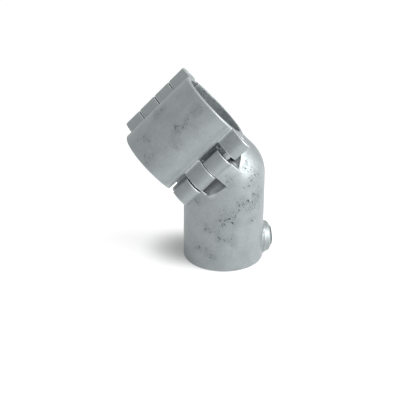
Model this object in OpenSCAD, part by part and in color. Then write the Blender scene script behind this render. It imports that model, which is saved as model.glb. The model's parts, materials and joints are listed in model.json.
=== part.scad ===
// Hinged clamp-on tee for round tube.
// A lower tube stands in a vertical socket. The socket bends at an elbow and
// carries a sleeve that is split along its length, so that it closes round a
// second tube which is already fixed in place. The cap of the sleeve turns on
// a hinge pin along one split line, and a second row of knuckles along the
// other split line takes the pin that locks it.
//
// Frame: +Z up, origin at the centre of the socket's rim, bend in the XZ plane.

/* [Tube] */
// Outside diameter of the tube that the fitting takes
tube_d = 48.3; // [42:0.1:60]
// Clearance between a tube and its bore, on the radius
tube_clear = 0.6; // [0.3:0.05:1]

/* [Socket and elbow] */
// Wall of the socket and of the elbow
socket_wall = 5.25; // [4.5:0.05:7]
// Depth that the lower tube goes in, up to its stop
socket_depth = 52; // [46:1:70]
// Width of the ledge that stops the lower tube
stop_ledge = 5.75; // [4:0.25:9]
// Height of the straight part of the core above the ledge
core_rise = 5; // [3:0.5:8]
// Height of the 45 degree taper that closes the core
core_taper = 12; // [6:0.5:14]
// Height of the bend point above the ledge
elbow_rise = 15; // [13:0.5:22]
// Angle between the socket and the neck
bend_angle = 44; // [35:1:55]
// Step from the elbow down to the neck, on the radius
neck_step = 0.15; // [0.1:0.05:0.5]
// Distance from the bend point to the outside of the sleeve
neck_reach = 13; // [11:0.5:20]
// Rounding of the socket's rim
rim_round = 1.2; // [0.5:0.1:2]

/* [Sleeve] */
// Wall of the sleeve
sleeve_wall = 3.75; // [3:0.05:5.5]
// Length of the sleeve
sleeve_len = 62; // [58:1:80]
// Rounding of the sleeve's outer edges
sleeve_round = 1; // [0.4:0.1:1.6]
// Angle from the neck to the crown of the cap
split_angle = 37; // [34:1:40]
// Gap between the cap and the fixed half
split_gap = 1.5; // [0.8:0.1:3]

/* [Hinge] */
// Diameter of the hinge pin
pin_d = 6; // [5:0.1:7]
// Running clearance of the pin in the cap, on the radius
pin_clear = 0.06; // [0.02:0.01:0.1]
// Distance from the ends of the knuckle row to the ends of the pin
pin_inset = 0.5; // [0.2:0.1:2]
// Chamfer on the ends of the pin
pin_chamfer = 0.5; // [0.2:0.1:1]
// Radius of a knuckle
knuckle_r = 6.6; // [5.8:0.1:7.4]
// Rounding of a knuckle's edges
knuckle_round = 0.6; // [0.2:0.1:1]
// Gap between the sleeve and a knuckle
knuckle_gap = 1.2; // [1:0.1:2.5]
// Drop from the hinge's middle knuckle to the web behind it
web_drop = 0.4; // [0.2:0.1:1.5]
// Length of each knuckle on the fixed half
body_knuckle_len = 14; // [11:0.2:15]
// Distance from the hinge line to the back of the heel on a knuckle of the fixed half
hinge_heel = 4.9; // [3:0.1:5.5]
// The same distance in the row that locks, where nothing swings past the heel
lock_heel = 6.9; // [3:0.1:7.2]
// Rounding of a heel's edge
heel_round = 1.2; // [0.4:0.1:1.6]
// Room that the cap's arms need beyond their own swing
swing_clear = 2.2; // [0.5:0.1:3]
// Depth of a notch in the cap, from the middle of the split
notch_depth = 6.3; // [5:0.1:9]
// Room behind the cap's knuckles in the row that locks
lock_clear = 0.5; // [0.3:0.1:1.5]
// Gap at the upper end of the hinge row, where the pin shows
hinge_gap_top = 3.8; // [0.6:0.1:4.5]
// Gap in the middle of the hinge row
hinge_gap_mid = 0.4; // [0.3:0.1:1.5]
// Gap at the lower end of the hinge row
hinge_gap_low = 1; // [0.3:0.1:1.5]
// Distance from the hinge row to the lower end of the sleeve
hinge_inset_low = 1; // [0.2:0.1:4]
// Gaps in the row of knuckles that locks
lock_gap = 0.5; // [0.4:0.1:1.5]
// Distance from the locking row to the upper end of the sleeve
lock_inset_top = 0.3; // [0.2:0.1:4]
// Distance from the locking row to the lower end of the sleeve
lock_inset_low = 1.8; // [0.2:0.1:5]

/* [Set screws] */
// Outside diameter of a set screw
screw_d = 16.6; // [14:0.2:18]
// Length of a set screw
screw_len = 10.5; // [9:0.5:12]
// Clearance of a set screw in its hole, on the radius
screw_clear = 0.06; // [0.02:0.01:0.1]
// Distance from the tip of a set screw to the bore
screw_tip_gap = 1; // [0.3:0.1:1.2]
// Chamfer on the ends of a set screw
screw_chamfer = 0.9; // [0.4:0.1:1.5]
// Hexagon of a set screw, across its flats
hex_flats = 8; // [6:0.5:9]
// Depth of that hexagon
hex_depth = 6; // [4:0.5:8]
// Wall of a boss round its screw
boss_wall = 3.4; // [2.6:0.1:4.5]
// Height of a boss above the wall that carries it
boss_height = 5; // [4:0.1:8]
// Rounding of a boss's edge
boss_round = 3.2; // [1:0.1:3.4]
// Flare of a boss at its foot, on the radius
boss_flare = 1.2; // [0.2:0.1:1.5]
// Height of the lower set screw above the rim
socket_screw_height = 13.2; // [13:0.2:30]

/* [Hidden] */
$fn = 96;

bore_r = tube_d / 2 + tube_clear;
socket_r = bore_r + socket_wall;
neck_r = socket_r - neck_step;
core_r = bore_r - stop_ledge;
bend_height = socket_depth + elbow_rise;

sleeve_r = bore_r + sleeve_wall;
neck_len = sleeve_r + neck_reach;
neck_dir = [-sin(bend_angle), 0, cos(bend_angle)];
sleeve_centre = [0, 0, bend_height] + neck_len * neck_dir;

pin_r = pin_d / 2;
hinge_offset = sleeve_r + knuckle_gap + knuckle_r;
lock_pocket_depth = knuckle_r + lock_clear;
// Where the flat of a cap arm runs out on the sleeve, and the circle that this corner turns on
arm_root = sqrt(pow(sleeve_r, 2) - pow(knuckle_r, 2));
arm_swing_r = norm([knuckle_r, hinge_offset - arm_root]);
pocket_depth = arm_swing_r + swing_clear;
// The hinge line seen from the neck's own axis
hinge_out = hinge_offset * cos(split_angle);
hinge_along = neck_len - hinge_offset * sin(split_angle);

// Each row of knuckles is cap, body, cap, body from the upper end down
sleeve_top = sleeve_len / 2;
hinge_low = -sleeve_top + hinge_inset_low;
lock_top = sleeve_top - lock_inset_top;
lock_low = -sleeve_top + lock_inset_low;
hinge_gaps = [hinge_gap_top, hinge_gap_mid, hinge_gap_low];
lock_gaps = [lock_gap, lock_gap, lock_gap];
hinge_row = knuckle_row(sleeve_top, hinge_low, hinge_gaps);
lock_row = knuckle_row(lock_top, lock_low, lock_gaps);

screw_r = screw_d / 2;
boss_r = screw_r + boss_wall;
// Larger than any part of the fitting, for cuts that run right through
past = 2 * (socket_r + sleeve_len);
// Overlap of a cut past the face that it opens
bite = 1;

cast_grey = "#9AA0A1";
cap_grey = "#929898";
pin_grey = "#A9AEAF";
screw_grey = "#8A8F90";

// The lower and upper end of each knuckle in a row, from the top knuckle down
function knuckle_row(top, low, gaps) =
    let (cap_len = (top - low - gaps[0] - gaps[1] - gaps[2]) / 2 - body_knuckle_len)
    let (body_1 = top - cap_len - gaps[0])
    let (cap_2 = body_1 - body_knuckle_len - gaps[1])
    [
        [top - cap_len, top],
        [body_1 - body_knuckle_len, body_1],
        [cap_2 - cap_len, cap_2],
        [low, low + body_knuckle_len]
    ];

// Places children with x along the neck, z along the sleeve, origin in its middle
module sleeve_frame() {
    translate(sleeve_centre)
        rotate([0, 90 - bend_angle, 0])
            rotate([0, 0, 180])
                children();
}

// As sleeve_frame, with x towards the crown of the cap and y towards the hinge
module split_frame() {
    sleeve_frame() rotate([0, 0, split_angle]) children();
}

// Half-plane outline of a disc with both edges rounded, for turning about z
module rounded_profile(r, low, high, edge) {
    translate([0, low]) square([r - edge, high - low]);
    translate([0, low + edge]) square([r, high - low - 2 * edge]);
    translate([r - edge, low + edge]) circle(edge);
    translate([r - edge, high - edge]) circle(edge);
}

// Straight bar with rounded edges along z
module rounded_bar(r, low, high, edge) {
    rotate_extrude() intersection() {
        rounded_profile(r, low, high, edge);
        translate([0, low]) square([r, high - low]);
    }
}

// Straight bar with chamfered ends along z
module chamfered_bar(r, low, high, chamfer) {
    rotate_extrude() polygon([
        [0, low], [r - chamfer, low], [r, low + chamfer],
        [r, high - chamfer], [r - chamfer, high], [0, high]
    ]);
}

// Slab across the sleeve between two stations along it
module station(low, high, x_low, x_high, y_low, y_high) {
    translate([x_low, y_low, low]) cube([x_high - x_low, y_high - y_low, high - low]);
}

// Socket with its round rim, closed at the top by the ball of the elbow
module socket_outside() {
    rotate_extrude() {
        translate([0, rim_round]) square([socket_r, bend_height - rim_round]);
        square([socket_r - rim_round, bend_height]);
        translate([socket_r - rim_round, rim_round]) circle(rim_round);
        intersection() {
            translate([0, bend_height]) circle(socket_r);
            translate([0, bend_height]) square(socket_r);
        }
    }
}

// Bore for the lower tube, and the tapered core above its stop
module socket_inside() {
    core_top = socket_depth + core_rise + core_taper;
    rotate_extrude() polygon([
        [0, -bite], [bore_r, -bite], [bore_r, socket_depth], [core_r, socket_depth],
        [core_r, socket_depth + core_rise], [core_r - core_taper, core_top], [0, core_top]
    ]);
}

// Neck from the bend point to a round end about the middle of the sleeve
module neck() {
    sleeve_frame() rotate([0, 90, 0]) rotate_extrude() {
        translate([0, -neck_len]) square([neck_r, neck_len]);
        intersection() {
            circle(neck_r);
            square(neck_r);
        }
    }
}

// Cone on the neck that carries the middle knuckle of the hinge
module hinge_web() {
    intersection() {
        sleeve_frame() rotate([0, 90, 0]) translate([0, 0, -neck_len])
            cylinder(h = hinge_along, r1 = neck_r, r2 = hinge_out + knuckle_r - web_drop);
        split_frame() station(hinge_row[1][0], hinge_row[1][1], -past, past, 0, past);
    }
}

// Sleeve before it is split
module sleeve_tube() {
    rounded_bar(sleeve_r, -sleeve_top, sleeve_top, sleeve_round);
}

// Knuckle at a hinge line, with the arm that joins it to its half of the sleeve
module knuckle(ends, side, arm_low, arm_high) {
    translate([0, side * hinge_offset, 0])
        rounded_bar(knuckle_r, ends[0], ends[1], knuckle_round);
    y_in = min(side * bore_r, side * hinge_offset);
    y_out = max(side * bore_r, side * hinge_offset);
    station(ends[0], ends[1], arm_low, arm_high, y_in, y_out);
}

// Flat heel on a knuckle of the fixed half, level with the flats of the cap's arms
module heel(ends, side, depth) {
    flat = knuckle_r - heel_round;
    translate([0, side * hinge_offset, ends[0]]) linear_extrude(ends[1] - ends[0])
        mirror([0, side < 0 ? 1 : 0]) translate([0, -depth]) {
            translate([-bite, 0]) square([flat + bite, depth]);
            translate([-bite, heel_round]) square([knuckle_r + bite, depth - heel_round]);
            translate([flat, heel_round]) circle(heel_round);
        }
}

// Knuckles of the fixed half on both rows
module body_knuckles() {
    for (i = [1, 3]) {
        knuckle(hinge_row[i], 1, -knuckle_r, 0);
        heel(hinge_row[i], 1, hinge_heel);
        knuckle(lock_row[i], -1, -knuckle_r, 0);
        heel(lock_row[i], -1, lock_heel);
    }
}

// Knuckles of the cap on both rows
module cap_knuckles() {
    for (i = [0, 2]) {
        knuckle(hinge_row[i], 1, split_gap / 2, knuckle_r);
        knuckle(lock_row[i], -1, split_gap / 2, knuckle_r);
    }
}

// Room in the neck for the cap's arms: deep where they swing, shallow where they only lock
module arm_pockets() {
    station(hinge_row[1][1], past, -pocket_depth, past, 0, past);
    station(hinge_row[3][1], hinge_row[1][0], -pocket_depth, past, 0, past);
    station(lock_row[1][1], past, -lock_pocket_depth, past, -past, 0);
    station(lock_row[3][1], lock_row[1][0], -lock_pocket_depth, past, -past, 0);
}

// Notches in the cap that clear the knuckles of the fixed half
module cap_notches() {
    station(-past, hinge_row[2][0], -past, notch_depth, 0, past);
    station(hinge_row[2][1], hinge_row[0][0], -past, notch_depth, 0, past);
    station(-past, lock_row[2][0], -past, notch_depth, -past, 0);
    station(lock_row[2][1], lock_row[0][0], -past, notch_depth, -past, 0);
}

// Boss for a set screw along z, from inside a wall to its rounded end
module screw_boss(wall_r) {
    end = wall_r + boss_height;
    shoulder = end - boss_round;
    rotate_extrude() {
        polygon([
            [0, bore_r], [boss_r + boss_flare, bore_r], [boss_r + boss_flare, wall_r],
            [boss_r, shoulder], [0, shoulder]
        ]);
        square([boss_r - boss_round, end]);
        translate([boss_r - boss_round, shoulder]) circle(boss_round);
    }
}

// Set screw along z, with its tip just clear of the bore
module set_screw() {
    tip = bore_r + screw_tip_gap;
    difference() {
        translate([0, 0, tip]) chamfered_bar(screw_r, 0, screw_len, screw_chamfer);
        translate([0, 0, tip + screw_len - hex_depth])
            cylinder(h = hex_depth + bite, d = hex_flats / cos(30), $fn = 6);
    }
}

// Hole for a set screw along z, from the bore outwards
module screw_hole() {
    cylinder(h = past, r = screw_r + screw_clear);
}

// Places children with z along the lower set screw, towards its head
module socket_screw_frame() {
    translate([0, 0, socket_screw_height]) rotate([0, 90, 0]) children();
}

// Places children with z along the sleeve's set screw, towards its head
module sleeve_screw_frame() {
    sleeve_frame() rotate([90, 0, 0]) children();
}

// Bores for the pins on both hinge lines
module pin_bores(hinge_r, lock_r) {
    translate([0, hinge_offset, 0]) cylinder(h = past, r = hinge_r, center = true);
    translate([0, -hinge_offset, 0]) cylinder(h = past, r = lock_r, center = true);
}

module socket_body() {
    color(cast_grey) difference() {
        union() {
            difference() {
                union() {
                    difference() {
                        union() {
                            socket_outside();
                            neck();
                        }
                        split_frame() arm_pockets();
                    }
                    split_frame() sleeve_tube();
                    sleeve_screw_frame() screw_boss(sleeve_r);
                }
                split_frame() station(-past, past, -split_gap / 2, past, -past, past);
            }
            hinge_web();
            split_frame() body_knuckles();
            socket_screw_frame() screw_boss(socket_r);
        }
        socket_inside();
        sleeve_frame() cylinder(h = past, r = bore_r, center = true);
        split_frame() pin_bores(pin_r, pin_r + pin_clear);
        socket_screw_frame() screw_hole();
        sleeve_screw_frame() screw_hole();
    }
}

module clamp_cap() {
    color(cap_grey) split_frame() difference() {
        union() {
            difference() {
                sleeve_tube();
                station(-past, past, -past, split_gap / 2, -past, past);
                cap_notches();
            }
            cap_knuckles();
        }
        cylinder(h = past, r = bore_r, center = true);
        pin_bores(pin_r + pin_clear, pin_r + pin_clear);
    }
}

module hinge_pin() {
    color(pin_grey) split_frame() translate([0, hinge_offset, 0])
        chamfered_bar(pin_r, hinge_low + pin_inset, sleeve_top - pin_inset, pin_chamfer);
}

module socket_set_screw() {
    color(screw_grey) socket_screw_frame() set_screw();
}

module sleeve_set_screw() {
    color(screw_grey) sleeve_screw_frame() set_screw();
}

socket_body();
clamp_cap();
hinge_pin();
socket_set_screw();
sleeve_set_screw();
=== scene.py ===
"""Looks of a hinged clamp-on tube tee: two galvanised castings, a hinge pin and two set screws."""

import json
import logging
import math
from dataclasses import dataclass
from enum import Enum
from typing import Any

import bmesh
import bpy
from mathutils import Matrix, Vector, noise

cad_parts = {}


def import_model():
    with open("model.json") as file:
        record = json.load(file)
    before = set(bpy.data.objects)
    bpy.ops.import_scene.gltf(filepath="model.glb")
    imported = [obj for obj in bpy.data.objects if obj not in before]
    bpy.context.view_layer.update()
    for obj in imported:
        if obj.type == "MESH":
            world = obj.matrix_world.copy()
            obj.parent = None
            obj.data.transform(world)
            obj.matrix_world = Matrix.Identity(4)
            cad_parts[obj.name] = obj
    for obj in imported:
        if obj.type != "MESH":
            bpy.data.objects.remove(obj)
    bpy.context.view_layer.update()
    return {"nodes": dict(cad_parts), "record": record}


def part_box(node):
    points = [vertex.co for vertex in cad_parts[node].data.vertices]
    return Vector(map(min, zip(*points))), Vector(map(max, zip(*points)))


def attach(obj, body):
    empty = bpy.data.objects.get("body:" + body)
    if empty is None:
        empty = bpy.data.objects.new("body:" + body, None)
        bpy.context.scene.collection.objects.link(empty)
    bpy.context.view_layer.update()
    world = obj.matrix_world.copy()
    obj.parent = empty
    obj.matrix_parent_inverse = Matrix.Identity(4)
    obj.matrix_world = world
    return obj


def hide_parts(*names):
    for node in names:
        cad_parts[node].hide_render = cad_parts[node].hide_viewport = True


LOG = logging.getLogger("tube_tee")
# Vertex attribute of the bright edges: partly wear, partly painted highlight.
WORN_AND_HIGHLIT_EDGES = "worn_and_highlit_edges"
MM = 0.001
NOISE_MIDDLE = (0.5, 0.5, 0.5)
FLOAT_UNDER, FLOAT_OVER, FLOAT_RESULT = 2, 3, 0
COLOUR_UNDER, COLOUR_OVER, COLOUR_RESULT = 6, 7, 2


def linear_colour(hex_colour: str) -> tuple[float, float, float, float]:
    """Turns an sRGB hex colour into linear light.

    Args:
        hex_colour: Colour as "#RRGGBB".

    Returns:
        Linear red, green, blue and an alpha of one.
    """
    parts = [int(hex_colour[i : i + 2], 16) / 255 for i in (1, 3, 5)]
    red, green, blue = [c / 12.92 if c <= 0.04045 else ((c + 0.055) / 1.055) ** 2.4 for c in parts]
    return red, green, blue, 1.0


def pattern_scale(feature_mm: float) -> float:
    """Scale of a noise texture whose features are that many millimetres wide."""
    return 1 / (feature_mm * MM)


def add_node(
    tree: bpy.types.NodeTree,
    kind: str,
    settings: dict[str, Any] | None = None,
    inputs: dict[str | int, Any] | None = None,
) -> bpy.types.Node:
    """Adds one shader node, sets it up and links it.

    Args:
        tree: Node tree that gets the node.
        kind: Blender's type name of the node.
        settings: Properties of the node itself.
        inputs: Socket name or number, with a value or the output socket to link from.

    Returns:
        The new node.
    """
    node = tree.nodes.new(kind)
    for key, value in (settings or {}).items():
        setattr(node, key, value)
    for key, value in (inputs or {}).items():
        if isinstance(value, bpy.types.NodeSocket):
            tree.links.new(value, node.inputs[key])
        else:
            node.inputs[key].default_value = value
    return node


def colour_over(
    tree: bpy.types.NodeTree, under: Any, amount: bpy.types.NodeSocket, over: Any,
) -> bpy.types.NodeSocket:
    """Lays one colour over another.

    Args:
        tree: Node tree of the material.
        under: Colour below, or its socket.
        amount: Mask of the colour on top.
        over: Colour on top, or its socket.

    Returns:
        The mixed colour.
    """
    return add_node(tree, "ShaderNodeMix", {"data_type": "RGBA"}, {
        "Factor": amount, COLOUR_UNDER: under, COLOUR_OVER: over,
    }).outputs[COLOUR_RESULT]


def end_metal(
    tree: bpy.types.NodeTree, colour: bpy.types.NodeSocket, metallic: float, rough: Any, bump: bpy.types.Node,
) -> None:
    """Ends a metal's node tree with its shader.

    Args:
        tree: Node tree of the material.
        colour: Base colour.
        metallic: How far it is bare metal.
        rough: Roughness, or its socket.
        bump: Node of the fine relief.
    """
    shader = add_node(tree, "ShaderNodeBsdfPrincipled", inputs={
        "Base Color": colour, "Metallic": metallic, "Roughness": rough, "Normal": bump.outputs["Normal"],
    })
    add_node(tree, "ShaderNodeOutputMaterial", inputs={"Surface": shader.outputs["BSDF"]})


def new_material(name: str) -> tuple[bpy.types.Material, bpy.types.NodeTree]:
    """Starts an empty node material.

    Args:
        name: Name of the material.

    Returns:
        The material and its node tree.
    """
    material = bpy.data.materials.new(name)
    material.use_nodes = True
    material.node_tree.nodes.clear()
    return material, material.node_tree


def coat(mesh: bpy.types.Mesh, material: bpy.types.Material) -> None:
    """Gives a mesh one material in place of all it had."""
    mesh.materials.clear()
    mesh.materials.append(material)


def discard(piece: bpy.types.Object) -> None:
    """Removes a helper object and its mesh."""
    mesh = piece.data
    bpy.data.objects.remove(piece)
    bpy.data.meshes.remove(mesh)


def finished_mesh(bm: bmesh.types.BMesh, name: str) -> bpy.types.Mesh:
    """Turns an edit mesh into a mesh of that name, and frees it."""
    mesh = bpy.data.meshes.new(name)
    bm.to_mesh(mesh)
    bm.free()
    return mesh


def applied_mesh(piece: bpy.types.Object) -> bpy.types.Mesh:
    """Takes a piece's mesh with its modifiers applied and removes the piece.

    Args:
        piece: Object with live modifiers.

    Returns:
        The finished mesh.
    """
    graph = bpy.context.evaluated_depsgraph_get()
    mesh = bpy.data.meshes.new_from_object(piece.evaluated_get(graph))
    discard(piece)
    return mesh


def linked_object(name: str, mesh: bpy.types.Mesh) -> bpy.types.Object:
    """Puts a mesh into the scene under a name."""
    piece = bpy.data.objects.new(name, mesh)
    bpy.context.scene.collection.objects.link(piece)
    return piece


class CastPiece(Enum):
    """The two castings, by the name of their solid."""

    BODY = "socket_body"
    CAP = "clamp_cap"


class ScrewAxis(Enum):
    """Direction of a set screw from its tip to its head."""

    RIGHT = (1.0, 0.0, 0.0)
    BACK = (0.0, 1.0, 0.0)


@dataclass(frozen=True)
class RoughPatch:
    """A round patch where the zinc is pitted."""

    centre_mm: tuple[float, float, float]
    radius_mm: float


@dataclass(frozen=True)
class PaintedLightPatch:
    """A round patch, or a strip along an axis, where the zinc has another tone.

    Pale patches are painted light in shaded pockets and creases, and dark ones are painted shade beside the
    pin.
    """

    centre_mm: tuple[float, float, float]
    radius_mm: float
    tone: str
    along: tuple[float, float, float] | None = None


@dataclass(frozen=True)
class FacedEnds:
    """The two ends of the sleeve, which are cut flat and have neither pits nor grain.

    They fade into the cast skin between two depths below the end and two distances from the axis.
    """

    middle: tuple[float, float, float]
    axis: tuple[float, float, float]
    half_length: float
    skin_mm: tuple[float, float] = (0.9, 0.3)
    rim_mm: tuple[float, float] = (28.8, 29.8)


@dataclass(frozen=True)
class GroundSpot:
    """A round place where the raw casting is ground smooth before galvanising."""

    centre_mm: tuple[float, float, float]
    radius_mm: float
    passes: int

    def holds(self, place: Vector) -> bool:
        """Says whether a place is in the ground spot."""
        return (place - Vector(self.centre_mm) * MM).length < self.radius_mm * MM


@dataclass(frozen=True)
class RoundHole:
    """A bored hole, whose wall stays true."""

    point: Vector
    axis: Vector
    radius: float
    wall: float = 0.5 * MM

    def holds(self, place: Vector) -> bool:
        """Says whether a place is in the hole or on its wall."""
        return (place - self.point).cross(self.axis).length < self.radius + self.wall


@dataclass(frozen=True)
class GalvanisedIron:
    """Malleable iron, sand cast and hot-dip galvanised.

    The zinc gives the eye a cool mid-grey metal with a soft sheen. It has a faint cloudy mottle
    and a fine grain from the sand, small dark pits in loose patches, bright edges that are partly
    worn and partly painted highlight, and patches of painted light and painted shade.
    """

    piece: CastPiece
    ends: FacedEnds
    patches: tuple[RoughPatch, ...]
    # Patches of painted light and painted shade.
    painted_light_patches: tuple[PaintedLightPatch, ...] = ()
    faced: str = "#8C9294"
    pit_level: float = 0.585
    pit_level_outside: float = 0.69
    pit_edge: float = 0.06
    pit_detail: float = 3.0
    pit_roughness: float = 0.7
    pit_distortion: float = 0.5
    zinc: str = "#9CA2A3"
    dull: str = "#8C9294"
    stain: str = "#6E7475"
    pit: str = "#34393A"
    # Colour of the bright edges, partly wear and partly painted highlight.
    worn_highlit_edge: str = "#C6CBCC"
    mottle_mm: float = 9.0
    mottle_detail: float = 4.0
    mottle_range: tuple[float, float] = (0.3, 0.7)
    dimple_mm: float = 2.0
    dimple_detail: float = 2.0
    grain_mm: float = 0.7
    grain_detail: float = 3.0
    grain_share: float = 0.5
    noise_roughness: float = 0.62
    tone_range: tuple[float, float] = (0.38, 0.62)
    stain_share: float = 0.3
    patch_core: float = 0.2
    wander_detail: float = 3.0
    pits_mm: tuple[float, ...] = (1.7, 0.9)
    streak_stretch: float = 2.6
    streak_slope_deg: float = 50.0
    patch_wander_mm: float = 14.0
    metallic: float = 0.75
    roughness_low: float = 0.4
    roughness_high: float = 0.52
    dimple_depth_mm: float = 0.12
    grain_depth_mm: float = 0.055
    pit_depth_mm: float = 0.08

    def build(self) -> bpy.types.Material:
        """Makes the material.

        Returns:
            The finished node material.
        """
        material, tree = new_material(f"galvanised_iron_{self.piece.name.lower()}")
        place = add_node(tree, "ShaderNodeTexCoord").outputs["Object"]
        mottle = self._noise(tree, place, self.mottle_mm, self.mottle_detail)
        dimple = self._noise(tree, place, self.dimple_mm, self.dimple_detail)
        grain = self._noise(tree, place, self.grain_mm, self.grain_detail)
        crowd = self._crowd(tree, place)
        raw = self._raw(tree, place)
        pits = add_node(tree, "ShaderNodeMath", {"operation": "MULTIPLY"}, {
            0: raw, 1: self._pits(tree, place, crowd),
        }).outputs[0]
        cast = self._colour(tree, place, mottle, grain, crowd, pits)
        colour = colour_over(tree, linear_colour(self.faced), raw, cast)
        least, most = self.mottle_range
        rough = add_node(tree, "ShaderNodeMapRange", inputs={
            "Value": mottle, "From Min": least, "From Max": most,
            "To Min": self.roughness_low, "To Max": self.roughness_high,
        }).outputs["Result"]
        height: Any = 0.0
        for relief, depth_mm in (
            (dimple, self.dimple_depth_mm), (grain, self.grain_depth_mm), (pits, -self.pit_depth_mm),
        ):
            height = add_node(tree, "ShaderNodeMath", {"operation": "MULTIPLY_ADD"}, {
                0: relief, 1: depth_mm, 2: height,
            }).outputs[0]
        bump = add_node(tree, "ShaderNodeBump", inputs={"Strength": raw, "Distance": MM, "Height": height})
        end_metal(tree, colour, self.metallic, rough, bump)
        return material

    def _noise(
        self, tree: bpy.types.NodeTree, place: bpy.types.NodeSocket, size_mm: float, detail: float,
    ) -> bpy.types.NodeSocket:
        """Adds a noise of one real size.

        Args:
            tree: Node tree of the material.
            place: Object coordinates.
            size_mm: Width of its features.
            detail: How many finer layers it has.

        Returns:
            The noise's value.
        """
        return add_node(tree, "ShaderNodeTexNoise", inputs={
            "Vector": place, "Scale": pattern_scale(size_mm), "Detail": detail,
            "Roughness": self.noise_roughness,
        }).outputs["Fac"]

    def _raw(self, tree: bpy.types.NodeTree, place: bpy.types.NodeSocket) -> bpy.types.NodeSocket:
        """Mask of the raw cast skin.

        Args:
            tree: Node tree of the material.
            place: Object coordinates.

        Returns:
            One on the cast skin and zero on the faced ends of the sleeve.
        """
        offset = add_node(tree, "ShaderNodeVectorMath", {"operation": "SUBTRACT"}, {
            0: place, 1: self.ends.middle,
        })
        along = add_node(tree, "ShaderNodeVectorMath", {"operation": "DOT_PRODUCT"}, {
            0: offset.outputs["Vector"], 1: self.ends.axis,
        })
        far = add_node(tree, "ShaderNodeMath", {"operation": "ABSOLUTE"}, {0: along.outputs["Value"]})
        square = add_node(tree, "ShaderNodeVectorMath", {"operation": "CROSS_PRODUCT"}, {
            0: offset.outputs["Vector"], 1: self.ends.axis,
        })
        out = add_node(tree, "ShaderNodeVectorMath", {"operation": "LENGTH"}, {0: square.outputs["Vector"]})
        deep, shallow = (self.ends.half_length - skin * MM for skin in self.ends.skin_mm)
        inside, outside = (rim * MM for rim in self.ends.rim_mm)
        before_end = add_node(tree, "ShaderNodeMapRange", inputs={
            "Value": far.outputs[0], "From Min": deep, "From Max": shallow, "To Min": 1.0, "To Max": 0.0,
        })
        off_rim = add_node(tree, "ShaderNodeMapRange", inputs={
            "Value": out.outputs["Value"], "From Min": inside, "From Max": outside,
        })
        return add_node(tree, "ShaderNodeMath", {"operation": "MAXIMUM"}, {
            0: before_end.outputs["Result"], 1: off_rim.outputs["Result"],
        }).outputs[0]

    def _crowd(self, tree: bpy.types.NodeTree, place: bpy.types.NodeSocket) -> bpy.types.NodeSocket:
        """How closely the pits lie.

        Args:
            tree: Node tree of the material.
            place: Object coordinates.

        Returns:
            One in the middle of a rough patch and zero outside all of them.
        """
        drift = add_node(tree, "ShaderNodeTexNoise", inputs={
            "Vector": place, "Scale": pattern_scale(self.patch_wander_mm / 2),
            "Detail": self.wander_detail,
        })
        centred = add_node(tree, "ShaderNodeVectorMath", {"operation": "SUBTRACT"}, {
            0: drift.outputs["Color"], 1: NOISE_MIDDLE,
        })
        ragged = add_node(tree, "ShaderNodeVectorMath", {"operation": "MULTIPLY_ADD"}, {
            0: centred.outputs[0], 1: (self.patch_wander_mm * MM,) * 3, 2: place,
        }).outputs[0]
        crowd: Any = 0.0
        for patch in self.patches:
            crowd = add_node(tree, "ShaderNodeMath", {"operation": "MAXIMUM"}, {
                0: crowd, 1: self._nearness(tree, ragged, patch),
            }).outputs[0]
        return crowd

    def _nearness(
        self, tree: bpy.types.NodeTree, place: bpy.types.NodeSocket, patch: RoughPatch | PaintedLightPatch,
    ) -> bpy.types.NodeSocket:
        """Mask of one patch.

        Args:
            tree: Node tree of the material.
            place: Object coordinates.
            patch: The patch.

        Returns:
            One in its middle and zero outside it.
        """
        centre = tuple(c * MM for c in patch.centre_mm)
        away = add_node(tree, "ShaderNodeVectorMath", {"operation": "SUBTRACT"}, {0: place, 1: centre})
        if isinstance(patch, PaintedLightPatch) and patch.along:
            away = add_node(tree, "ShaderNodeVectorMath", {"operation": "CROSS_PRODUCT"}, {
                0: away.outputs["Vector"], 1: patch.along,
            })
        away = add_node(tree, "ShaderNodeVectorMath", {"operation": "LENGTH"}, {0: away.outputs["Vector"]})
        return add_node(tree, "ShaderNodeMapRange", {"interpolation_type": "SMOOTHSTEP"}, {
            "Value": away.outputs["Value"], "From Min": self.patch_core * patch.radius_mm * MM,
            "From Max": patch.radius_mm * MM, "To Min": 1.0, "To Max": 0.0,
        }).outputs["Result"]

    def _pits(
        self, tree: bpy.types.NodeTree, place: bpy.types.NodeSocket, crowd: bpy.types.NodeSocket,
    ) -> bpy.types.NodeSocket:
        """Small dark pits, close together in the rough patches and rare elsewhere.

        Args:
            tree: Node tree of the material.
            place: Object coordinates.
            crowd: How closely the pits lie.

        Returns:
            One in a pit and zero elsewhere.
        """
        level = add_node(tree, "ShaderNodeMapRange", inputs={
            "Value": crowd, "To Min": self.pit_level_outside, "To Max": self.pit_level,
        }).outputs["Result"]
        streaked = add_node(tree, "ShaderNodeMapping", {"vector_type": "TEXTURE"}, {
            "Vector": place, "Rotation": (0.0, math.radians(self.streak_slope_deg), 0.0),
            "Scale": (self.streak_stretch, 1.0, 1.0),
        }).outputs["Vector"]
        pits: Any = 0.0
        for size_mm in self.pits_mm:
            spots = add_node(tree, "ShaderNodeTexNoise", inputs={
                "Vector": streaked, "Scale": pattern_scale(size_mm), "Detail": self.pit_detail,
                "Roughness": self.pit_roughness, "Distortion": self.pit_distortion,
            })
            over = add_node(tree, "ShaderNodeMath", {"operation": "SUBTRACT"}, {
                0: spots.outputs["Fac"], 1: level,
            })
            deep = add_node(tree, "ShaderNodeMapRange", {"interpolation_type": "SMOOTHSTEP"}, {
                "Value": over.outputs[0], "From Min": 0.0, "From Max": self.pit_edge,
            })
            pits = add_node(tree, "ShaderNodeMath", {"operation": "MAXIMUM"}, {
                0: pits, 1: deep.outputs["Result"],
            }).outputs[0]
        return pits

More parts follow.
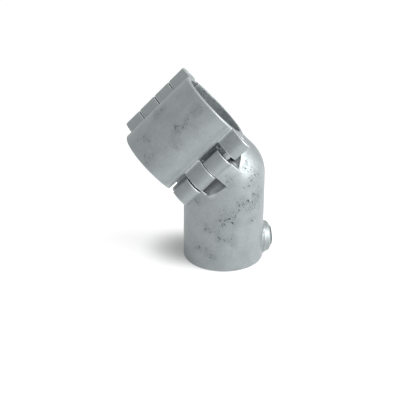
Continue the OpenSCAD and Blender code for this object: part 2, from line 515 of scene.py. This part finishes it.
    def _colour(
        self, tree: bpy.types.NodeTree, place: bpy.types.NodeSocket, mottle: bpy.types.NodeSocket,
        grain: bpy.types.NodeSocket, crowd: bpy.types.NodeSocket, pits: bpy.types.NodeSocket,
    ) -> bpy.types.NodeSocket:
        """Mixes the colours of the zinc, from pits to bright edges of wear and painted highlight, and lays
        the patches of painted light and shade on top.

        Args:
            tree: Node tree of the material.
            place: Object coordinates.
            mottle: Broad noise between dull and clean zinc.
            grain: Fine noise over both.
            crowd: How closely the pits lie, where the zinc is also a little stained.
            pits: Mask of the pits.

        Returns:
            The base colour.
        """
        # Bright outer edges: partly wear, partly painted highlight.
        worn_highlit_edge = add_node(tree, "ShaderNodeAttribute", {"attribute_name": WORN_AND_HIGHLIT_EDGES}).outputs["Fac"]
        both = add_node(tree, "ShaderNodeMix", {"data_type": "FLOAT"}, {
            "Factor": self.grain_share, FLOAT_UNDER: mottle, FLOAT_OVER: grain,
        }).outputs[FLOAT_RESULT]
        least, most = self.tone_range
        spread = add_node(tree, "ShaderNodeMapRange", inputs={
            "Value": both, "From Min": least, "From Max": most,
        }).outputs["Result"]
        stained = add_node(tree, "ShaderNodeMath", {"operation": "MULTIPLY"}, {
            0: crowd, 1: self.stain_share,
        }).outputs[0]
        colour = linear_colour(self.dull)
        layers = [(spread, self.zinc), (stained, self.stain), (pits, self.pit), (worn_highlit_edge, self.worn_highlit_edge)]
        # The patches of painted light and painted shade go on top.
        layers += [(self._nearness(tree, place, patch), patch.tone) for patch in self.painted_light_patches]
        for amount, tone in layers:
            colour = colour_over(tree, colour, amount, linear_colour(tone))
        return colour


@dataclass(frozen=True)
class TurnedSteel:
    """Steel turned on a lathe, then plated or case hardened.

    It gives the eye a smooth satin metal with a fine cloudy tone from its coating.
    """

    name: str
    steel: str
    cloud: str
    roughness: float
    cloud_mm: float = 1.2
    cloud_detail: float = 4.0
    cloud_roughness: float = 0.6
    cloud_range: tuple[float, float] = (0.35, 0.65)
    metallic: float = 0.9
    bump_mm: float = 0.02
    bump_strength: float = 0.4

    def build(self) -> bpy.types.Material:
        """Makes the material.

        Returns:
            The finished node material.
        """
        material, tree = new_material(self.name)
        place = add_node(tree, "ShaderNodeTexCoord").outputs["Object"]
        fine = add_node(tree, "ShaderNodeTexNoise", inputs={
            "Vector": place, "Scale": pattern_scale(self.cloud_mm), "Detail": self.cloud_detail,
            "Roughness": self.cloud_roughness,
        }).outputs["Fac"]
        least, most = self.cloud_range
        tone = add_node(tree, "ShaderNodeMapRange", inputs={
            "Value": fine, "From Min": least, "From Max": most,
        }).outputs["Result"]
        colour = colour_over(tree, linear_colour(self.cloud), tone, linear_colour(self.steel))
        bump = add_node(tree, "ShaderNodeBump", inputs={
            "Strength": self.bump_strength, "Distance": self.bump_mm * MM, "Height": fine,
        })
        end_metal(tree, colour, self.metallic, self.roughness, bump)
        return material


@dataclass
class Casting:
    """One iron casting: its solid with the soft edges and the slight waviness of a sand mould."""

    piece: CastPiece
    body: str
    slot: str
    finish: GalvanisedIron
    holes: tuple[RoundHole, ...]
    ground: tuple[GroundSpot, ...] = ()
    weld_mm: float = 0.002
    cell_mm: float = 0.36
    smoothing_passes: int = 3
    smoothing: float = 0.5
    fillet_passes: int = 30
    fillet_least_mm: float = 0.06
    wave_mm: float = 9.0
    wave_height_mm: float = 0.08
    most_triangles: int = 180_000
    # How sharply an outer edge bends before it gets the bright edge colour of wear and painted highlight.
    worn_highlit_from_per_mm: float = 0.25
    worn_highlit_to_per_mm: float = 0.9
    worn_highlit_passes: int = 1
    least_span_mm: float = 0.1

    def build(self, nodes: dict[str, bpy.types.Object]) -> bpy.types.Object:
        """Makes the casting's surface and puts it in place of its solid.

        Args:
            nodes: The solids of the fitting by name.

        Returns:
            The dressed piece.
        """
        grid = self._gridded(nodes[self.piece.value])
        self._soften(grid)
        mesh = self._thinned(grid)
        self._mark_edges(mesh)
        coat(mesh, self.finish.build())
        casting = linked_object(f"{self.piece.value}_cast", mesh)
        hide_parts(self.piece.value)
        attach(casting, self.body)
        return casting

    def _gridded(self, solid: bpy.types.Object) -> bpy.types.Mesh:
        """Covers a solid with an even grid of small faces.

        Args:
            solid: The solid to cover.

        Returns:
            The new mesh.
        """
        copy = linked_object(f"{self.piece.value}_grid", solid.data.copy())
        bm = bmesh.new()
        bm.from_mesh(copy.data)
        bmesh.ops.remove_doubles(bm, verts=bm.verts, dist=self.weld_mm * MM)
        bm.to_mesh(copy.data)
        bm.free()
        grid = copy.modifiers.new("grid", "REMESH")
        grid.mode = "VOXEL"
        grid.voxel_size = self.cell_mm * MM
        return applied_mesh(copy)

    def _soften(self, mesh: bpy.types.Mesh) -> None:
        """Rounds the edges and lets the surface wander a little.

        Args:
            mesh: Evenly gridded mesh of the casting, changed in place.
        """
        bm = bmesh.new()
        bm.from_mesh(mesh)
        self._smooth(bm, self.smoothing_passes)
        self._fillet(bm)
        for spot in self.ground:
            self._grind(bm, spot)
        for vertex in bm.verts:
            wave = noise.noise(vertex.co / (self.wave_mm * MM))
            vertex.co += vertex.normal * wave * self.wave_height_mm * MM
        bm.to_mesh(mesh)
        bm.free()

    def _smooth(self, bm: bmesh.types.BMesh, passes: int) -> None:
        """Smooths the whole surface.

        Args:
            bm: Evenly gridded surface, changed in place.
            passes: How often.
        """
        for _ in range(passes):
            bmesh.ops.smooth_vert(
                bm, verts=bm.verts, factor=self.smoothing,
                use_axis_x=True, use_axis_y=True, use_axis_z=True,
            )
        bm.normal_update()

    def _grind(self, bm: bmesh.types.BMesh, spot: GroundSpot) -> None:
        """Smooths one ground spot.

        Args:
            bm: Softened surface, changed in place.
            spot: Where it is ground, and how often.
        """
        inside = [vertex for vertex in bm.verts if spot.holds(vertex.co)]
        around = [[edge.other_vert(vertex) for edge in vertex.link_edges] for vertex in inside]
        for _ in range(spot.passes):
            middles = [sum((near.co for near in nears), Vector()) / len(nears) for nears in around]
            for vertex, middle in zip(inside, middles):
                vertex.co = vertex.co.lerp(middle, self.smoothing)
        bm.normal_update()

    def _fillet(self, bm: bmesh.types.BMesh) -> None:
        """Fills the inner corners, as in a mould, and leaves the rest and the bored holes as they are.

        Args:
            bm: Softened surface, changed in place.
        """
        before = [(vertex.co.copy(), vertex.normal.copy()) for vertex in bm.verts]
        self._smooth(bm, self.fillet_passes)
        least = self.fillet_least_mm * MM
        for vertex, (place, normal) in zip(bm.verts, before):
            share = min(1.0, (vertex.co - place).dot(normal) / least - 1)
            if share <= 0 or any(hole.holds(place) for hole in self.holes):
                vertex.co = place
            else:
                vertex.co = place.lerp(vertex.co, share)
        bm.normal_update()

    def _thinned(self, mesh: bpy.types.Mesh) -> bpy.types.Mesh:
        """Leaves out faces where the surface is plain, and shades it smooth.

        Args:
            mesh: Softened mesh of the casting.

        Returns:
            The lighter mesh.
        """
        dense = linked_object(f"{self.piece.value}_dense", mesh)
        triangles = sum(len(face.vertices) - 2 for face in mesh.polygons)
        thin = dense.modifiers.new("thin", "DECIMATE")
        thin.ratio = min(1.0, self.most_triangles / triangles)
        lighter = applied_mesh(dense)
        lighter.shade_smooth()
        return lighter

    def _mark_edges(self, mesh: bpy.types.Mesh) -> None:
        """Stores on each vertex how sharply the surface bends outwards, for the bright edges of wear and
        painted highlight.

        Args:
            mesh: Finished mesh of the casting, which gets the attribute.
        """
        bm = bmesh.new()
        bm.from_mesh(mesh)
        bm.verts.ensure_lookup_table()
        middles = [face.calc_center_median() for face in bm.faces]
        bends: list[list[float]] = [[] for _ in bm.verts]
        sharpest = self.worn_highlit_to_per_mm * 2
        least = self.least_span_mm * MM
        for edge in bm.edges:
            if len(edge.link_faces) == 2:
                one, other = (middles[face.index] for face in edge.link_faces)
                bend = edge.calc_face_angle_signed(0.0) * MM / max((one - other).length, least)
                for vertex in edge.verts:
                    bends[vertex.index].append(max(-sharpest, min(sharpest, bend)))
        around = [
            [vertex.index] + [edge.other_vert(vertex).index for edge in vertex.link_edges]
            for vertex in bm.verts
        ]
        bm.free()
        marks = [sum(bend) / max(1, len(bend)) for bend in bends]
        for _ in range(self.worn_highlit_passes):
            marks = [sum(marks[near] for near in nears) / len(nears) for nears in around]
        low, high = self.worn_highlit_from_per_mm, self.worn_highlit_to_per_mm
        shares = [max(0.0, min(1.0, (mark - low) / (high - low))) for mark in marks]
        mesh.attributes.new(WORN_AND_HIGHLIT_EDGES, "FLOAT", "POINT").data.foreach_set("value", shares)


@dataclass
class SetScrew:
    """Hexagon-socket set screw with a cup point and a fine pipe thread.

    The thread's profile is given by points, each as a share of the pitch and a share of the depth.
    """

    node: str
    body: str
    axis: ScrewAxis
    finish: TurnedSteel
    pitch_mm: float = 1.34
    thread_depth_mm: float = 0.86
    thread_profile: tuple[tuple[float, float], ...] = ((0.0, 0.0), (0.14, 0.0), (0.5, 1.0), (0.64, 1.0))
    spare_turns: int = 2
    thread_weld_mm: float = 0.001
    end_weld_mm: float = 0.002
    cut_slack: float = 1e-7
    chamfer_mm: float = 0.95
    hex_flats_mm: float = 8.0
    hex_depth_mm: float = 6.0
    cup_depth_mm: float = 1.2
    cup_mouth_mm: float = 8.4
    cup_floor_mm: float = 2.0
    steps: int = 72

    def build(self) -> bpy.types.Object:
        """Makes the screw and puts it in place of its solid.

        Returns:
            The dressed piece.
        """
        low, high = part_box(self.node)
        along = Vector(self.axis.value)
        length = (high - low).dot(along)
        radius = max(high - low) / 2
        middle = (low + high) / 2
        blank = linked_object(f"{self.node}_blank", self._threaded(radius, length))
        cutter = linked_object(f"{self.node}_cutter", self._cutter(length))
        cut = blank.modifiers.new("ends", "BOOLEAN")
        cut.operation = "DIFFERENCE"
        cut.solver = "EXACT"
        cut.object = cutter
        mesh = applied_mesh(blank)
        discard(cutter)
        turn = along.to_track_quat("Z", "Y").to_matrix().to_4x4()
        mesh.transform(Matrix.Translation(middle - along * length / 2) @ turn)
        coat(mesh, self.finish.build())
        screw = linked_object(f"{self.node}_threaded", mesh)
        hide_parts(self.node)
        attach(screw, self.body)
        return screw

    def _threaded(self, radius: float, length: float) -> bpy.types.Mesh:
        """Winds the thread up the z axis and closes it with chamfered ends.

        Args:
            radius: Outside radius of the thread.
            length: Length of the screw.

        Returns:
            The closed mesh, with its tip at the origin.
        """
        pitch, depth = self.pitch_mm * MM, self.thread_depth_mm * MM
        bm = bmesh.new()
        turns = math.ceil(length / pitch) + self.spare_turns
        line = [
            bm.verts.new((radius - deep * depth, 0, (turn - self.spare_turns + part) * pitch))
            for turn in range(turns + 1) for part, deep in self.thread_profile
        ]
        edges = [bm.edges.new(pair) for pair in zip(line, line[1:])]
        bmesh.ops.spin(
            bm, geom=line + edges, axis=(0, 0, 1), cent=(0, 0, 0), angle=2 * math.pi,
            steps=self.steps, dvec=(0, 0, pitch / self.steps), use_merge=False,
        )
        bmesh.ops.remove_doubles(bm, verts=bm.verts, dist=self.thread_weld_mm * MM)
        for height, side in ((0.0, -1), (length, 1)):
            bmesh.ops.bisect_plane(
                bm, geom=bm.verts[:] + bm.edges[:] + bm.faces[:], dist=self.cut_slack,
                plane_co=(0, 0, height), plane_no=(0, 0, side), clear_outer=True,
            )
        chamfer = self.chamfer_mm * MM
        for vertex in bm.verts:
            to_end = min(vertex.co.z, length - vertex.co.z)
            reach = radius - max(0.0, chamfer - to_end)
            over = math.hypot(vertex.co.x, vertex.co.y)
            if over > reach:
                vertex.co.x *= reach / over
                vertex.co.y *= reach / over
        bmesh.ops.remove_doubles(bm, verts=bm.verts, dist=self.end_weld_mm * MM)
        bmesh.ops.holes_fill(bm, edges=[edge for edge in bm.edges if edge.is_boundary])
        bmesh.ops.recalc_face_normals(bm, faces=bm.faces)
        return finished_mesh(bm, self.node)

    def _cutter(self, length: float) -> bpy.types.Mesh:
        """Makes what is cut out of both ends.

        Args:
            length: Length of the screw.

        Returns:
            The hexagon bar for the key at the head, and the blunt cone of the cup point at the tip.
        """
        bm = bmesh.new()
        corner = self.hex_flats_mm * MM / math.sqrt(3)
        bmesh.ops.create_cone(
            bm, cap_ends=True, segments=6, radius1=corner, radius2=corner,
            depth=2 * self.hex_depth_mm * MM, matrix=Matrix.Translation((0, 0, length)),
        )
        bmesh.ops.create_cone(
            bm, cap_ends=True, segments=self.steps, radius1=self.cup_mouth_mm * MM,
            radius2=self.cup_floor_mm * MM, depth=2 * self.cup_depth_mm * MM,
        )
        return finished_mesh(bm, f"{self.node}_cutter")


@dataclass
class HingePin:
    """Plain turned pin of the hinge, whose solid already has its true shape."""

    finish: TurnedSteel
    node: str = "hinge_pin"

    def dress(self, nodes: dict[str, bpy.types.Object]) -> bpy.types.Object:
        """Gives the pin its finish.

        Args:
            nodes: The solids of the fitting by name.

        Returns:
            The dressed pin.
        """
        pin = nodes[self.node]
        coat(pin.data, self.finish.build())
        return pin


@dataclass(frozen=True)
class SoftLamp:
    """A lamp behind a sheet of white cloth, pointed at the fitting."""

    name: str
    place: tuple[float, float, float]
    width: float
    height: float
    watts: float


@dataclass
class Studio:
    """Pale floor, soft light mostly from the right, and the camera of the product picture."""

    lamps: tuple[SoftLamp, ...]
    azimuth: float = -7.07
    elevation: float = 24.4
    distance: float = 633.5 * MM
    lens: float = 76.5
    sensor: float = 36.0
    aim_across: float = -17.68 * MM
    aim_height: float = 44.58 * MM
    floor_half: float = 12.0
    floor_tone: str = "#CECECE"
    floor_lift: float = 0.46
    shade_middle: tuple[float, float, float] = (-26 * MM, 14 * MM, 0.0)
    shade_near: float = 5 * MM
    shade_far: float = 40 * MM
    room_tone: str = "#ECECEC"

    def build(self) -> None:
        """Sets up the floor, the world, the lamps and the camera."""
        scene = bpy.context.scene
        scene.view_settings.view_transform = "Standard"
        self._floor()
        self._world(scene)
        for lamp in self.lamps:
            self._hang(lamp)
        self._camera(scene)

    def _floor(self) -> None:
        """Lays the pale floor, which the camera sees lifted to white away from a round patch left of and
        behind the fitting; inside it the lift is held back, so real shadow and painted shadow darken the
        floor there.
        """
        bm = bmesh.new()
        bmesh.ops.create_grid(bm, x_segments=1, y_segments=1, size=self.floor_half)
        mesh = finished_mesh(bm, "floor")
        material, tree = new_material("floor_paper")
        paper = add_node(tree, "ShaderNodeBsdfDiffuse", inputs={"Color": linear_colour(self.floor_tone)})
        path = add_node(tree, "ShaderNodeLightPath")
        seen = path.outputs["Is Camera Ray"]
        for ray in ("Is Glossy Ray", "Is Transmission Ray"):
            seen = add_node(tree, "ShaderNodeMath", {"operation": "MAXIMUM"}, {
                0: seen, 1: path.outputs[ray],
            }).outputs[0]
        place = add_node(tree, "ShaderNodeTexCoord").outputs["Object"]
        # Painted shadow: the lift fades out towards shade_middle, so the floor stays darker there even where
        # no shadow falls.
        away = add_node(tree, "ShaderNodeVectorMath", {"operation": "DISTANCE"}, {
            0: place, 1: self.shade_middle,
        })
        bright = add_node(tree, "ShaderNodeMapRange", {"interpolation_type": "SMOOTHSTEP"}, {
            "Value": away.outputs["Value"], "From Min": self.shade_near, "From Max": self.shade_far,
            "To Min": 0.0, "To Max": self.floor_lift,
        })
        lift = add_node(tree, "ShaderNodeMath", {"operation": "MULTIPLY"}, {
            0: seen, 1: bright.outputs["Result"],
        })
        glow = add_node(tree, "ShaderNodeEmission", inputs={"Strength": lift.outputs[0]})
        both = add_node(tree, "ShaderNodeAddShader", inputs={
            0: paper.outputs["BSDF"], 1: glow.outputs["Emission"],
        })
        add_node(tree, "ShaderNodeOutputMaterial", inputs={"Surface": both.outputs["Shader"]})
        mesh.materials.append(material)
        linked_object("floor", mesh)

    def _world(self, scene: bpy.types.Scene) -> None:
        """Puts pale grey walls round the floor, which light the fitting evenly.

        Args:
            scene: Scene that gets the world.
        """
        world = bpy.data.worlds.new("studio")
        scene.world = world
        world.use_nodes = True
        tree = world.node_tree
        tree.nodes.clear()
        room = add_node(tree, "ShaderNodeBackground", inputs={"Color": linear_colour(self.room_tone)})
        add_node(tree, "ShaderNodeOutputWorld", inputs={"Surface": room.outputs[0]})

    def _hang(self, lamp: SoftLamp) -> None:
        """Hangs one lamp.

        Args:
            lamp: The lamp's place, size and power.
        """
        light = bpy.data.lights.new(lamp.name, "AREA")
        light.shape = "RECTANGLE"
        light.size = lamp.width
        light.size_y = lamp.height
        light.energy = lamp.watts
        hung = bpy.data.objects.new(lamp.name, light)
        hung.location = lamp.place
        aim = Vector((0, 0, self.aim_height))
        hung.rotation_euler = (hung.location - aim).to_track_quat("Z", "Y").to_euler()
        bpy.context.scene.collection.objects.link(hung)

    def _camera(self, scene: bpy.types.Scene) -> None:
        """Places the camera at the picture's angle.

        Args:
            scene: Scene that gets the camera.
        """
        turn, lift = math.radians(self.azimuth), math.radians(self.elevation)
        back = Vector((math.sin(turn) * math.cos(lift), -math.cos(turn) * math.cos(lift), math.sin(lift)))
        across = Vector((math.cos(turn), math.sin(turn), 0))
        aim = across * self.aim_across + Vector((0, 0, self.aim_height))
        data = bpy.data.cameras.new("camera")
        data.lens = self.lens
        data.sensor_width = self.sensor
        data.sensor_fit = "HORIZONTAL"
        camera = bpy.data.objects.new("camera", data)
        camera.location = aim + back * self.distance
        camera.rotation_euler = back.to_track_quat("Z", "Y").to_euler()
        scene.collection.objects.link(camera)
        scene.camera = camera


def bored_holes(record: dict[str, Any]) -> tuple[RoundHole, ...]:
    """Finds the holes of the pins and of the set screws.

    Args:
        record: The fitting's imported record.

    Returns:
        The four holes.
    """
    joints = {joint["name"]: joint for joint in record["behaviour"]["joints"]}
    mounts = {mount["name"]: mount for mount in record["mounts"]}
    pin_radius = mounts["locking_pin_bore"]["dims"]["r_mm"] * MM
    holes = [
        RoundHole(Vector(line["pos_m"]), Vector(line["axis"]), pin_radius)
        for line in (joints["cap_swing"], mounts["locking_pin_bore"])
    ]
    for node, axis in (("socket_set_screw", ScrewAxis.RIGHT), ("sleeve_set_screw", ScrewAxis.BACK)):
        low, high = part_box(node)
        holes.append(RoundHole((low + high) / 2, Vector(axis.value), max(high - low) / 2))
    return tuple(holes)


def body_finish(ends: FacedEnds) -> GalvanisedIron:
    """Finish of the body, with its rough patches, painted light in its pockets and painted shade beside the
    pin.

    Args:
        ends: The ends of the sleeve.

    Returns:
        The finish.
    """
    return GalvanisedIron(CastPiece.BODY, ends, (
        RoughPatch((0, -30, 45), 12), RoughPatch((-6, -30, 40), 10), RoughPatch((-15, -26, 33), 7),
        RoughPatch((-8, -29, 29), 8), RoughPatch((2, -30, 26), 8), RoughPatch((-22, -21, 17), 9),
        RoughPatch((-13, -27, 13), 8), RoughPatch((18, -23, 73), 11), RoughPatch((20, -22, 57), 12),
        RoughPatch((16, -25, 51), 11), RoughPatch((18, -24, 41), 8), RoughPatch((8, -29, 54), 10),
        RoughPatch((-22, -21, 55), 6), RoughPatch((-1, -31, 74), 9), RoughPatch((13, -23, 81), 10),
        RoughPatch((-10, 24, 119), 15), RoughPatch((-2, 21, 106), 14), RoughPatch((-12, 28, 35), 13),
        RoughPatch((20, 22, 52), 13), RoughPatch((-26, 15, 20), 10), RoughPatch((28, 10, 68), 12),
    ), (
        # Painted light: pale patches that brighten the shaded pockets by the hinge.
        PaintedLightPatch((-8, -22, 67), 8, "#E6E9EA"), PaintedLightPatch((-12, -23, 63), 7, "#E6E9EA"),
        # Painted shade: the two dark patches in the gap beside the pin.
        PaintedLightPatch((5.5, -21, 82.5), 6, "#DADEDF"), PaintedLightPatch((1.9, -19.2, 84.8), 5, "#1C1E1E"),
        PaintedLightPatch((-0.6, -25, 86.8), 4.5, "#1C1E1E"),
    ))


def cap_finish(ends: FacedEnds) -> GalvanisedIron:
    """Finish of the cap, a little smoother, with a strip of painted light along its hinge side, where shade
    falls in the crease.

    Args:
        ends: The ends of the sleeve.

    Returns:
        The finish.
    """
    return GalvanisedIron(CastPiece.CAP, ends, (
        RoughPatch((-48, -7, 117), 10), RoughPatch((-24, -23, 124), 7), RoughPatch((-34, -25, 112), 8),
        RoughPatch((-38, -27, 100), 6), RoughPatch((-59, -15, 101), 7), RoughPatch((-56, -24, 91), 7),
        RoughPatch((-29, -24, 117), 7), RoughPatch((-60, 16, 104), 12),
    ), (
        # Painted light: a pale strip along the crease beside the hinge arms brightens its shade.
        PaintedLightPatch((-14.4, -26.7, 97.1), 3.4, "#B0B6B7", ends.axis),
    ), faced="#9CA2A3", pit_level=0.595)


def main() -> None:
    """Dresses every piece of the fitting and sets the studio round it."""
    logging.basicConfig(level=logging.INFO, format="%(message)s")
    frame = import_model()
    nodes = frame["nodes"]
    sleeve = next(mount for mount in frame["record"]["mounts"] if mount["name"] == "sleeve_clamp")
    ends = FacedEnds(tuple(sleeve["pos_m"]), tuple(sleeve["axis"]), sleeve["dims"]["length_mm"] * MM / 2)
    holes = bored_holes(frame["record"])
    neck_back = GroundSpot((3.5, 28.6, 76), 12, 150)
    for casting in (
        Casting(CastPiece.BODY, "body", "casting", body_finish(ends), holes, (neck_back,)),
        Casting(CastPiece.CAP, "cap", "cap", cap_finish(ends), holes),
    ):
        piece = casting.build(nodes)
        LOG.info("%s: %d faces", piece.name, len(piece.data.polygons))
    plated = TurnedSteel("zinc_plated_steel", "#AEB3B4", "#989D9E", roughness=0.32)
    hardened = TurnedSteel("case_hardened_screw_steel", "#8E9394", "#757A7B", roughness=0.4)
    for screw in (
        SetScrew("socket_set_screw", "socket_screw", ScrewAxis.RIGHT, hardened),
        SetScrew("sleeve_set_screw", "sleeve_screw", ScrewAxis.BACK, hardened),
    ):
        piece = screw.build()
        LOG.info("%s: %d faces", piece.name, len(piece.data.polygons))
    LOG.info("%s dressed", HingePin(plated).dress(nodes).name)
    Studio((
        SoftLamp("right_panel", (0.7, -0.36, 0.41), 0.7, 0.6, 8.8),
        SoftLamp("overhead", (0.22, -0.1, 0.9), 0.5, 0.5, 1.0),
    )).build()


if __name__ == "__main__":
    main()
